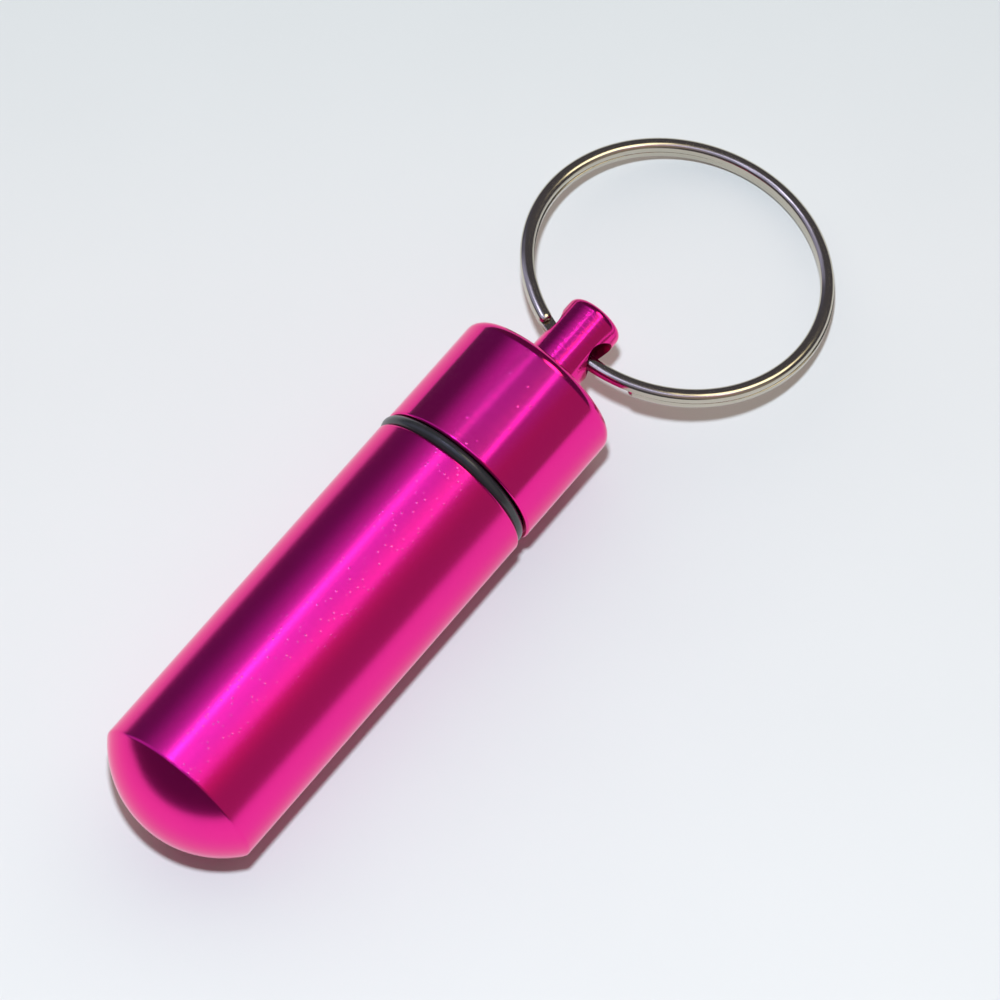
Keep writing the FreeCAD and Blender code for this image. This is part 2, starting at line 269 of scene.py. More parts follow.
class StageSettings(bpy.types.PropertyGroup):
    """Camera, light and floor"""

    azimuth: turn("Azimuth", "Camera's bearing", -50.09)
    elevation: turn("Elevation", "Camera's height above the horizon", 68.64)
    roll: turn("Roll", "Camera's tilt about its own line of sight", -0.68)
    distance: length("Distance", "From the camera to its target", 431.9 * MM)
    target: place("Target", "Point that the camera looks at", (0.13 * MM, -2.22 * MM, 7.0 * MM))
    lens: number("Lens", "Focal length in millimetres", 202.26)
    key_power: number("Key power", "Power of the key lamp in watts", 5.65)
    key_radius: length("Key radius", "Size of the key lamp", 13.0 * MM)
    key_place: place("Key place", "Where the key lamp hangs", (-57.0 * MM, -42.5 * MM, 400.0 * MM))
    floor_edge: length("Floor edge", "How far the floor goes on past the capsule's far side", 59.3 * MM)
    floor_end: length("Floor end", "How far the floor goes on beyond the capsule's dome", 96.0 * MM)
    fill: number("Fill", "Strength of the soft light, most of it from the far side", 0.345)


# Meshes

def shown(name, data):
    """Object in the scene that shows a mesh, a lamp or a camera."""
    item = bpy.data.objects.new(name, data)
    bpy.context.scene.collection.objects.link(item)
    return item


def applied(item):
    """Plain mesh of an object with its modifiers applied; the object goes with its own mesh."""
    depsgraph = bpy.context.evaluated_depsgraph_get()
    mesh = bpy.data.meshes.new_from_object(item.evaluated_get(depsgraph), depsgraph=depsgraph)
    bpy.data.meshes.remove(item.data)
    return mesh


def new_piece(name, mesh, material):
    """Object at the origin that holds a finished mesh."""
    piece = shown(name, mesh)
    if not mesh.materials:
        mesh.materials.append(material)
    return piece


def hand_over(piece, body, node):
    """Gives a piece to the body that carries it, in place of its plain solid."""
    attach(piece, body)
    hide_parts(node)


def rounded_outline(corners):
    """Points of an outline whose corners, each (along, radius, rounding), are turned into arcs."""
    points = []
    for index, (along, away, rounding) in enumerate(corners):
        here = Vector((along, away))
        if rounding == 0.0 or index in (0, len(corners) - 1):
            points.append(here)
            continue
        back = Vector(corners[index - 1][:2]) - here
        ahead = Vector(corners[index + 1][:2]) - here
        half = back.angle(ahead) / 2
        reach = rounding / math.tan(half)
        spare_back = min(EDGE_SUPPORT, back.length - reach)
        spare_ahead = min(EDGE_SUPPORT, ahead.length - reach)
        back.normalize()
        ahead.normalize()
        middle = here + (back + ahead).normalized() * (rounding / math.sin(half))
        start = here + back * reach - middle
        sweep = start.angle_signed(here + ahead * reach - middle)
        if spare_back > MERGE:
            points.append(here + back * (reach + spare_back))
        for step in range(ARC_STEPS + 1):
            points.append(middle + Matrix.Rotation(-sweep * step / ARC_STEPS, 2) @ start)
        if spare_ahead > MERGE:
            points.append(here + ahead * (reach + spare_ahead))
    return points


def bridge(shape, first, second):
    """Adds the faces between two rings of points, one of which may be a single point."""
    count = max(len(first), len(second))
    for step in range(count):
        after = (step + 1) % count
        if len(first) == 1:
            shape.faces.new((first[0], second[after], second[step]))
        elif len(second) == 1:
            shape.faces.new((first[step], first[after], second[0]))
        else:
            shape.faces.new((first[step], first[after], second[after], second[step]))


def spin(shape, points):
    """Adds the surface that an outline sweeps about the capsule's axis."""
    rings = []
    for along, away in points:
        count, away = (AROUND, away) if away >= MERGE else (1, 0.0)
        ring = []
        for step in range(count):
            angle = FULL_TURN * step / AROUND
            spot = (TIP_X + along, AXIS_Y + away * math.cos(angle), AXIS_Z + away * math.sin(angle))
            ring.append(shape.verts.new(spot))
        rings.append(ring)
    for first, second in zip(rings, rings[1:]):
        bridge(shape, first, second)


def close_up(shape, mesh):
    """Merges the seams of a closed form, turns its faces outwards and writes it to a mesh."""
    bmesh.ops.remove_doubles(shape, verts=shape.verts, dist=MERGE)
    bmesh.ops.recalc_face_normals(shape, faces=shape.faces)
    if any(not edge.is_manifold for edge in shape.edges):
        raise RuntimeError("%s isn't closed" % mesh.name)
    if shape.calc_volume(signed=True) < 0:
        bmesh.ops.reverse_faces(shape, faces=shape.faces)
    shape.to_mesh(mesh)
    shape.free()


def shade(mesh, angle):
    """Smooth shading with a sharp line where faces meet at more than the given angle."""
    mesh.shade_smooth()
    mesh.set_sharp_from_angle(angle=math.radians(angle))


def wear(mesh, finishes, choose):
    """Gives each face the finish that is chosen from its middle."""
    mesh.materials.clear()
    for finish in finishes:
        mesh.materials.append(finish)
    for face in mesh.polygons:
        face.material_index = choose(face.center)


def turned_map(mesh):
    """UV map with U round the capsule's axis and V along it."""
    layer = mesh.uv_layers.new(name="TurnedMap")
    for face in mesh.polygons:
        middle = math.atan2(face.center.z - AXIS_Z, face.center.y - AXIS_Y)
        for corner in face.loop_indices:
            spot = mesh.vertices[mesh.loops[corner].vertex_index].co
            angle = math.atan2(spot.z - AXIS_Z, spot.y - AXIS_Y)
            angle += FULL_TURN * round((middle - angle) / FULL_TURN)
            layer.data[corner].uv = (angle / FULL_TURN, (spot.x - TIP_X) / (FULL_TURN * RADIUS))


# Node trees

class Tree:
    """Short way to add nodes to a tree and link them; underscores in the names of inputs stand for spaces."""

    def __init__(self, tree):
        self.tree = tree

    def put(self, socket, value):
        """Links a socket to another one, or gives it a fixed value."""
        if isinstance(value, bpy.types.NodeSocket):
            self.tree.links.new(value, socket)
        else:
            socket.default_value = value

    def feed(self, node, *values, **inputs):
        """Fills the first inputs of a node in order, and others by name."""
        named = [(node.inputs[name.replace("_", " ")], value) for name, value in inputs.items()]
        for socket, value in [*zip(node.inputs, values), *named]:
            self.put(socket, value)
        return node

    def node(self, kind, settings=None, *values, **inputs):
        """New node with its settings and inputs."""
        made = self.tree.nodes.new(kind)
        for name, value in (settings or {}).items():
            setattr(made, name, value)
        return self.feed(made, *values, **inputs)

    def math(self, operation, *values, clamp=False):
        """Result of a math node."""
        settings = {"operation": operation, "use_clamp": clamp}
        return self.node("ShaderNodeMath", settings, *values).outputs[0]

    plus = partialmethod(math, "ADD")
    minus = partialmethod(math, "SUBTRACT")
    times = partialmethod(math, "MULTIPLY")
    over = partialmethod(math, "DIVIDE")
    times_plus = partialmethod(math, "MULTIPLY_ADD")

    def dot(self, vector, direction):
        """How far a vector goes in a fixed direction."""
        made = self.node("ShaderNodeVectorMath", {"operation": "DOT_PRODUCT"}, vector, direction)
        return made.outputs["Value"]

    def ramp(self, value, row, kind=EASE):
        """Level that changes as a value goes over a row's (from, to, level at from, level at to)."""
        start, end, first, last = row
        made = self.node(
            "ShaderNodeMapRange", {"interpolation_type": kind},
            Value=value, From_Min=start, From_Max=end, To_Min=first, To_Max=last,
        )
        return made.outputs[0]

    def levels(self, value, rows):
        """Level made of several ramps, each joined to those before it."""
        level = None
        for operation, kind, *row in rows:
            part = self.ramp(value, row, kind)
            level = part if level is None else self.math(operation, level, part)
        return level

    def mixed(self, share, first, second, kind="RGBA"):
        """Mix of two colours, or of two levels; the mix node's sockets are found by their type."""
        made = self.node("ShaderNodeMix", {"data_type": kind})
        self.put(made.inputs[0], share)
        wanted = "VALUE" if kind == "FLOAT" else kind
        sockets = [socket for socket in made.inputs if socket.type == wanted][-2:]
        for socket, value in zip(sockets, (first, second)):
            self.put(socket, (*value, 1.0) if isinstance(value, tuple) else value)
        return next(socket for socket in made.outputs if socket.type == wanted)

    blend = partialmethod(mixed, kind="FLOAT")

    def bump(self, height, distance, **before):
        """Normal that follows a height."""
        made = self.node("ShaderNodeBump", Height=height, Strength=1.0, Distance=distance, **before)
        return made.outputs[0]


FORM_TREE = "GeometryNodeTree", ("Material", "NodeSocketMaterial"), ("Geometry", "NodeSocketGeometry")
EFFECT_TREE = "ShaderNodeTree", ("Vector", "NodeSocketVector")


def new_tree(name, kind, source, result, **numbers):
    """New tree with a source and a result, each (name, socket type), and numbers; also its inputs."""
    tree = bpy.data.node_groups.new(name, kind)
    tree.interface.new_socket(source[0], in_out="INPUT", socket_type=source[1])
    tree.interface.new_socket(result[0], in_out="OUTPUT", socket_type=result[1])
    for label, default in numbers.items():
        socket_type = "NodeSocketInt" if isinstance(default, int) else "NodeSocketFloat"
        socket = tree.interface.new_socket(label.replace("_", " "), in_out="INPUT", socket_type=socket_type)
        socket.default_value = default
    way = Tree(tree)
    return way, way.node("NodeGroupInput").outputs


def shared(maker):
    """Tree that is made once and has the name of the function that makes it."""
    name = maker.__name__
    return bpy.data.node_groups.get(name) or maker(name)


def finish_tree(way, mesh_socket, material_socket):
    """Ends a tree in Realize Instances and Set Material."""
    real = way.node("GeometryNodeRealizeInstances", Geometry=mesh_socket)
    painted = way.node("GeometryNodeSetMaterial", Geometry=real.outputs[0], Material=material_socket)
    way.node("NodeGroupOutput", Geometry=painted.outputs[0])
    return way.tree


def capsule_thread(name):
    """Sleeve about the capsule's axis with a right-handed groove cut into it."""
    way, size = new_tree(
        name, *FORM_TREE, Start=0.0, Length=0.005, Land=0.0, Run=0.0004, Radius=0.0057, Depth=0.0004,
        Pitch=0.001, Narrow=0.1, Wide=0.35, Rows=120,
    )
    grid = way.node(
        "GeometryNodeMeshGrid", Size_X=1.0, Size_Y=1.0, Vertices_X=AROUND + 1, Vertices_Y=size["Rows"],
    )
    spot = way.node("ShaderNodeSeparateXYZ", Vector=way.node("GeometryNodeInputPosition").outputs[0])
    share = way.plus(spot.outputs["X"], 0.5)

    # Rows climb one pitch in each turn, so they follow the thread, and stop at the sleeve's two ends
    row = way.times(way.plus(spot.outputs["Y"], 0.5), way.minus(size["Rows"], 1.0))
    turns = way.plus(way.over(row, THREAD_ROWS), way.minus(share, 1.0))
    climbed = way.math("MAXIMUM", way.times(turns, size["Pitch"]), 0.0)
    gone = way.math("MINIMUM", climbed, size["Length"])
    along = way.plus(size["Start"], gone)

    # The groove is deepest at half of the pitch, and runs out at both ends
    phase = way.math("FRACT", way.minus(way.over(along, size["Pitch"]), share))
    off = way.math("ABSOLUTE", way.minus(phase, 0.5))
    flank = way.over(way.minus(size["Wide"], off), way.minus(size["Wide"], size["Narrow"]), clamp=True)
    begin = way.over(way.minus(gone, size["Land"]), size["Run"], clamp=True)
    finish = way.over(way.minus(size["Length"], gone), size["Run"], clamp=True)
    cut = way.times(way.times(flank, way.math("MINIMUM", begin, finish)), size["Depth"])
    away = way.minus(size["Radius"], cut)
    angle = way.times(share, FULL_TURN)
    moved = way.node(
        "ShaderNodeCombineXYZ",
        X=way.plus(along, TIP_X),
        Y=way.times_plus(away, way.math("COSINE", angle), AXIS_Y),
        Z=way.times_plus(away, way.math("SINE", angle), AXIS_Z),
    )
    placed = way.node("GeometryNodeSetPosition", Geometry=grid.outputs["Mesh"], Position=moved.outputs[0])
    merged = way.node("GeometryNodeMergeByDistance", Geometry=placed.outputs[0], Distance=MERGE)
    return finish_tree(way, merged.outputs[0], size["Material"])


def wound_wire(name):
    """Wire wound almost twice, stepping down at the stem; each turn is flat only where it meets the other."""
    way, size = new_tree(
        name, *FORM_TREE, Radius=0.012, Start=0.0, Sweep=12.0, Jog_Start=6.0, Jog_Sweep=0.36, Drop=0.001,
        Wire_Width=0.001, Wire_Height=0.00095, Domed=2.2, Flat=16.0, Taper=0.0003, Taper_Sweep=0.28,
        Cut_Edge=0.0002, End_Share=0.012, Shift_X=0.0, Shift_Y=0.0, Steps=640, Sides=40,
    )
    line = way.node("GeometryNodeCurvePrimitiveLine")
    line = way.node("GeometryNodeResampleCurve", Curve=line.outputs[0], Count=size["Steps"])
    section = way.node("GeometryNodeCurvePrimitiveCircle", Resolution=size["Sides"])
    factor = way.node("GeometryNodeSplineParameter").outputs["Factor"]
    run, outline = (
        way.node("GeometryNodeStoreNamedAttribute", Geometry=curve.outputs[0], Name=label, Value=factor)
        for curve, label in ((line, "along_wire"), (section, "around_wire"))
    )
    swept = way.node(
        "GeometryNodeCurveToMesh", Curve=run.outputs[0], Profile_Curve=outline.outputs[0], Fill_Caps=True,
    )
    share, around = (
        way.node("GeometryNodeInputNamedAttribute", Name=label).outputs[0]
        for label in ("along_wire", "around_wire")
    )

    # Rings of points gather at the two cut ends, where the wire is rounded
    end = size["End Share"]
    body = way.times_plus(end, -2.0, 1.0)
    edge = way.over(size["Cut Edge"], way.times(size["Radius"], size["Sweep"]))
    first = way.over(share, end, clamp=True)
    middle = way.over(way.minus(share, end), body, clamp=True)
    last = way.over(way.minus(share, way.minus(1.0, end)), end, clamp=True)
    ends = way.times(way.plus(first, last), edge)
    gone = way.times_plus(middle, way.times_plus(edge, -2.0, 1.0), ends)
    gone = way.times(gone, size["Sweep"])

    # The wire eases down from the upper turn to the lower one
    step = way.over(way.minus(gone, size["Jog Start"]), size["Jog Sweep"], clamp=True)
    eased = way.times(way.times(step, step), way.times_plus(step, -2.0, 3.0))
    level = way.times(way.minus(0.5, eased), size["Drop"])

    # Section: a domed half and a flat half, which change places in the step
    turned = way.times(around, FULL_TURN)
    across, upwards = way.math("COSINE", turned), way.math("SINE", turned)
    upper = way.math("GREATER_THAN", upwards, 0.0)
    flatness = way.math("ABSOLUTE", way.minus(upper, way.minus(1.0, eased)))
    thinned = way.minus(1.0, way.over(gone, size["Taper Sweep"], clamp=True))
    rounder = way.times_plus(thinned, way.minus(2.0, size["Domed"]), size["Domed"])
    square = way.times_plus(flatness, way.minus(size["Flat"], rounder), rounder)
    power = way.over(2.0, square)
    wide, high = (
        way.times(way.math("SIGN", part), way.math("POWER", way.math("ABSOLUTE", part), power))
        for part in (across, upwards)
    )

    # The section shrinks at the cut ends, and the upper end is thinned from above
    left = way.times(way.math("MINIMUM", gone, way.minus(size["Sweep"], gone)), size["Radius"])
    short = way.minus(1.0, way.over(left, size["Cut Edge"], clamp=True))
    full = way.math("SQRT", way.minus(1.0, way.times(short, short)))
    full = way.times_plus(full, 1.0 - BLUNT, BLUNT)
    thinned = way.times(way.times(thinned, size["Taper"]), way.times_plus(high, 0.5, 0.5))
    half_width = way.times(size["Wire Width"], way.times(full, 0.5))
    half_height = way.times(size["Wire Height"], way.times(full, 0.5))
    away = way.times_plus(wide, half_width, size["Radius"])
    height = way.minus(way.times_plus(high, half_height, level), thinned)
    angle = way.minus(size["Start"], gone)
    moved = way.node(
        "ShaderNodeCombineXYZ",
        X=way.times_plus(away, way.math("COSINE", angle), way.times(eased, size["Shift X"])),
        Y=way.times_plus(away, way.math("SINE", angle), way.times(eased, size["Shift Y"])),
        Z=height,
    )
    wound = way.node("GeometryNodeSetPosition", Geometry=swept.outputs[0], Position=moved.outputs[0])
    return finish_tree(way, wound.outputs[0], size["Material"])


def grown(maker, **values):
    """Plain mesh that a shared tree makes with the given named inputs."""
    tree = shared(maker)
    holder = shown("holder", bpy.data.meshes.new("holder"))
    modifier = holder.modifiers.new("grow", "NODES")
    modifier.node_group = tree
    sockets = {item.name: item.identifier for item in tree.interface.items_tree if item.in_out == "INPUT"}
    for name, value in values.items():
        modifier[sockets[name.replace("_", " ")]] = value
    mesh = applied(holder)
    if not mesh.polygons:
        raise RuntimeError("%s made no faces" % tree.name)
    return mesh


def turned_shell(name, outside, inside, sizes, **form):
    """Closed mesh of a turned piece, whose thread joins the end of its outside to the start of its inside."""
    start, radius, _ = outside[-1]
    thread = grown(
        capsule_thread, Start=start, Length=inside[0][0] - start, Radius=radius, Run=THREAD_RUN,
        Depth=sizes.thread_depth, Pitch=sizes.pitch, **form,
    )
    shape = bmesh.new()
    shape.from_mesh(thread)
    bpy.data.meshes.remove(thread)
    for corners in (outside, inside):
        spin(shape, rounded_outline(corners))
    mesh = bpy.data.meshes.new(name)
    close_up(shape, mesh)
    return mesh


# Finishes

def turning_marks(name):
    """Fine lines left by turning: rings about the capsule's axis, broken up a little round it."""
    way, entry = new_tree(name, *EFFECT_TREE, ("Height", "NodeSocketFloat"), Lines=4000.0, Break_Up=40.0)
    spot = way.node("ShaderNodeSeparateXYZ", Vector=entry["Vector"]).outputs
    stretched = way.node(
        "ShaderNodeCombineXYZ",
        X=way.times(spot["X"], entry["Lines"]),
        Y=way.times(spot["Y"], entry["Break Up"]),
        Z=way.times(spot["Z"], entry["Break Up"]),
    )
    noise = way.node("ShaderNodeTexNoise", Vector=stretched.outputs[0], Scale=1.0, Detail=3.0, Roughness=0.6)
    way.node("NodeGroupOutput", Height=noise.outputs["Fac"])
    return way.tree


def dust_specks(name):
    """Scattered tiny dust specks and pits, as a mask."""
    way, entry = new_tree(name, *EFFECT_TREE, ("Mask", "NodeSocketFloat"), Scale=900.0, Size=0.10, Share=0.06)
    cells = way.node("ShaderNodeTexVoronoi", Vector=entry["Vector"], Scale=entry["Scale"])
    chance = way.node("ShaderNodeSeparateColor", Color=cells.outputs["Color"]).outputs["Red"]
    chosen = way.math("LESS_THAN", chance, entry["Share"])
    near = way.minus(1.0, way.over(cells.outputs["Distance"], entry["Size"]), clamp=True)
    way.node("NodeGroupOutput", Mask=way.times(chosen, near))
    return way.tree


def handling_clouds(name):
    """Soft cloudy variation left by handling, around one half."""
    way, entry = new_tree(name, *EFFECT_TREE, ("Cloud", "NodeSocketFloat"), Scale=180.0)
    noise = way.node("ShaderNodeTexNoise", Vector=entry["Vector"], Scale=entry["Scale"], Detail=4.0)
    way.node("NodeGroupOutput", Cloud=noise.outputs["Fac"])
    return way.tree


def use_group(way, maker, **inputs):
    """Places a shared effect in a material."""
    return way.node("ShaderNodeGroup", {"node_tree": shared(maker)}, **inputs).outputs[0]


def scaled(tone, *shares):
    """Colour whose channels are multiplied by one share, or by one each."""
    return tuple(value * share for value, share in zip(tone, shares * (len(tone) // len(shares))))


def new_material(name, **values):
    """Node material, its tree, its surface shader with the given even values, and the place on the piece."""
    material = bpy.data.materials.new(name)
    material.use_nodes = True
    material.node_tree.nodes.clear()
    way = Tree(material.node_tree)
    shader = way.node("ShaderNodeBsdfPrincipled", **values)
    way.node("ShaderNodeOutputMaterial", Surface=shader.outputs[0])
    return material, way, shader, way.node("ShaderNodeTexCoord").outputs["Object"]


def anodised_material(name, dye, lines, mark_depth, roughness, speck_share, break_up=40.0):
    """Dyed and anodised aluminium with turning marks, handling clouds, and dust specks on the side facing the
    key lamp, painted pale as glints.
    """
    material, way, shader, spot = new_material(
        name, Metallic=1.0, Specular_Tint=(1.0, 0.30, 0.55, 1.0),
        Coat_Weight=1.0, Coat_Roughness=0.22, Coat_IOR=1.26,
    )
    here = way.node("ShaderNodeMapping", Vector=spot, Location=(0.0, -AXIS_Y, -AXIS_Z)).outputs[0]
    marks = use_group(way, turning_marks, Vector=here, Lines=lines, Break_Up=break_up)
    cloud = use_group(way, handling_clouds, Vector=here)

    # Dust specks lie only on the side facing the key lamp, where they are painted pale as glints
    specks = use_group(way, dust_specks, Vector=here, Scale=2900.0, Size=0.30, Share=speck_share)
    flat = way.node("ShaderNodeVectorMath", {"operation": "MULTIPLY"}, here, (0.0, 1.0, 1.0))
    outward = way.node("ShaderNodeVectorMath", {"operation": "NORMALIZE"}, flat.outputs[0])
    dust_and_glint_share = way.times_plus(way.dot(outward.outputs[0], DUST_AND_GLINT_SIDE), *DUST_AND_GLINT_EDGE, clamp=True)
    specks = way.times(specks, dust_and_glint_share)

    # Painted glint: the specks take a pale pink, much lighter than the dye, as real dust and as light caught
    # along the highlight
    dust_and_glint_tone = (min(1.0, dye[0] * 1.05), 0.25, min(1.0, dye[2] * 2.0))
    tinted = way.mixed(cloud, dye, scaled(dye, 0.93, 0.8, 1.06))
    rough = way.times_plus(cloud, 0.06, roughness - 0.03)
    way.feed(
        shader,
        Base_Color=way.mixed(way.times(specks, 0.9), tinted, dust_and_glint_tone),
        Roughness=way.times_plus(marks, 0.04, rough),
        Normal=way.bump(specks, 12 * UM, Normal=way.bump(marks, mark_depth)),
    )
    return material


def rubber_material(tone):
    """Satin black rubber with a fine moulded grain."""
    material, way, shader, spot = new_material("black_rubber", Specular_IOR_Level=0.55)
    cloud = use_group(way, handling_clouds, Vector=spot, Scale=700.0)
    grain = way.node("ShaderNodeTexNoise", Vector=spot, Scale=9000.0, Detail=2.0)
    way.feed(
        shader,
        Base_Color=way.mixed(cloud, tone, scaled(tone, 2.2)),
        Roughness=way.times_plus(cloud, 0.12, 0.18),
        Normal=way.bump(grain.outputs["Fac"], 4 * UM),
    )
    return material


def nickel_material(tone):
    """Bright nickel plate over drawn wire, with faint waves, dark specks and handling clouds."""
    material, way, shader, spot = new_material("nickel_plate", Metallic=1.0)
    cloud = use_group(way, handling_clouds, Vector=spot, Scale=260.0)
    specks = use_group(way, dust_specks, Vector=spot, Scale=1500.0, Share=0.04)
    stained = way.mixed(cloud, tone, scaled(tone, 0.86, 0.84, 0.80))
    wave = way.node("ShaderNodeTexNoise", Vector=spot, Scale=210.0, Detail=2.0)
    way.feed(
        shader,
        Base_Color=way.mixed(specks, stained, scaled(tone, 0.45)),
        Roughness=way.times_plus(cloud, 0.12, 0.09),
        Normal=way.bump(wave.outputs["Fac"], 90 * UM),
    )
    return material


def floor_material(near, far, bearing):
    """Pale matt board with a barely seen mottle, and the key lamp's falloff painted into its tone: lighter
    towards the camera and darker away from it.
    """
    material, way, shader, spot = new_material("pale_board", Roughness=0.6, Specular_IOR_Level=0.2)
    cloud = use_group(way, handling_clouds, Vector=spot, Scale=60.0)
    # Painted light and shade: the tone is lighter near the camera and darker away from it
    apart = way.dot(spot, bearing)
    painted_light_share, painted_shade_share = (way.over(way.minus(apart, begin), span, clamp=True) for begin, span in PAINTED_FALLOFF_BANDS)
    tone = way.mixed(painted_shade_share, way.mixed(painted_light_share, scaled(near, NEAR_FLOOR_PAINTED_LIGHT), near), far)
    mottle = way.node("ShaderNodeHueSaturation", Value=0.97, Color=tone)
    way.feed(shader, Base_Color=way.mixed(cloud, tone, mottle.outputs[0]))
    return material


# Operators

class PILLFOB_OT_barrel(bpy.types.Operator):
    """Turned barrel with its dome, bore and threaded neck"""

    bl_idname = "pillfob.barrel"
    bl_label = "Barrel"

    def execute(self, context):
        sizes = context.scene.pillfob_capsule
        dye = tuple(context.scene.pillfob_colours.anodised)
        finish, dome_finish = (
            anodised_material(name, dye, 5200.0, 1.2 * UM, roughness, speck_share)
            for name, roughness, speck_share in (
                ("anodised_barrel", 0.21, 0.34), ("anodised_dome", 0.22, 0.02),
            )
        )
        dome_radius = (sizes.radius ** 2 + sizes.dome_height ** 2) / (2 * sizes.dome_height)
        opening = math.asin(sizes.radius / dome_radius)
        outside = []
        for step in range(DOME_STEPS):
            angle = opening * step / DOME_STEPS
            outside.append((dome_radius - dome_radius * math.cos(angle), dome_radius * math.sin(angle), 0.0))
        outside += [
            (sizes.dome_height, sizes.radius, sizes.dome_edge),
            (sizes.shoulder, sizes.radius, sizes.shoulder_edge),
            (sizes.shoulder, sizes.neck_radius, 0.0),
        ]
        bevel = sizes.mouth_bevel
        neck_top = sizes.neck_end - bevel
        inside = [
            (neck_top, sizes.neck_radius, 0.0),
            (sizes.neck_end, sizes.neck_radius - bevel, 0.0),
            (sizes.neck_end, sizes.bore_radius + bevel, 0.0),
            (neck_top, sizes.bore_radius, 0.0),
            (sizes.bore_start, sizes.bore_radius, BORE_EDGE),
            (sizes.bore_floor, 0.0, 0.0),
        ]
        mesh = turned_shell(
            "barrel_shell", outside, inside, sizes, Land=sizes.neck_land, Material=finish, **NECK_THREAD,
        )
        dome_end = sizes.dome_height - sizes.dome_edge
        wear(mesh, (finish, dome_finish), lambda spot: int(spot.x - TIP_X < dome_end))
        shade(mesh, METAL_SHARP)
        turned_map(mesh)
        hand_over(new_piece("barrel_shell", mesh, finish), "barrel", "barrel")
        return {"FINISHED"}


class PILLFOB_OT_seal(bpy.types.Operator):
    """Rubber ring, a little slack on the neck and pressed flat where the metal holds it"""

    bl_idname = "pillfob.seal"
    bl_label = "Seal"

    def execute(self, context):
        sizes = context.scene.pillfob_capsule
        finish = rubber_material(tuple(context.scene.pillfob_colours.rubber))
        half = sizes.seal_section / 2
        lift = SEAL_SIDE * sizes.seal_shift
        shape = bmesh.new()
        rings = []
        for step in range(AROUND):
            angle = FULL_TURN * step / AROUND
            ring = []
            for side in range(SEAL_SIDES):
                around = FULL_TURN * side / SEAL_SIDES
                along = max(-SEAL_FLAT, min(SEAL_FLAT, SEAL_SPREAD * math.cos(around))) * half
                away = sizes.seal_radius + math.sin(around) * half
                spot = Vector((TIP_X + sizes.seal_place + along, AXIS_Y, AXIS_Z)) + lift
                spot += Vector((0.0, math.cos(angle), math.sin(angle))) * away
                ring.append(shape.verts.new(spot))
            rings.append(ring)
        for first, second in zip(rings, rings[1:] + rings[:1]):
            bridge(shape, first, second)
        mesh = bpy.data.meshes.new("rubber_seal")
        close_up(shape, mesh)
        shade(mesh, RUBBER_SHARP)
        hand_over(new_piece("rubber_seal", mesh, finish), "seal", "o_ring")
        return {"FINISHED"}


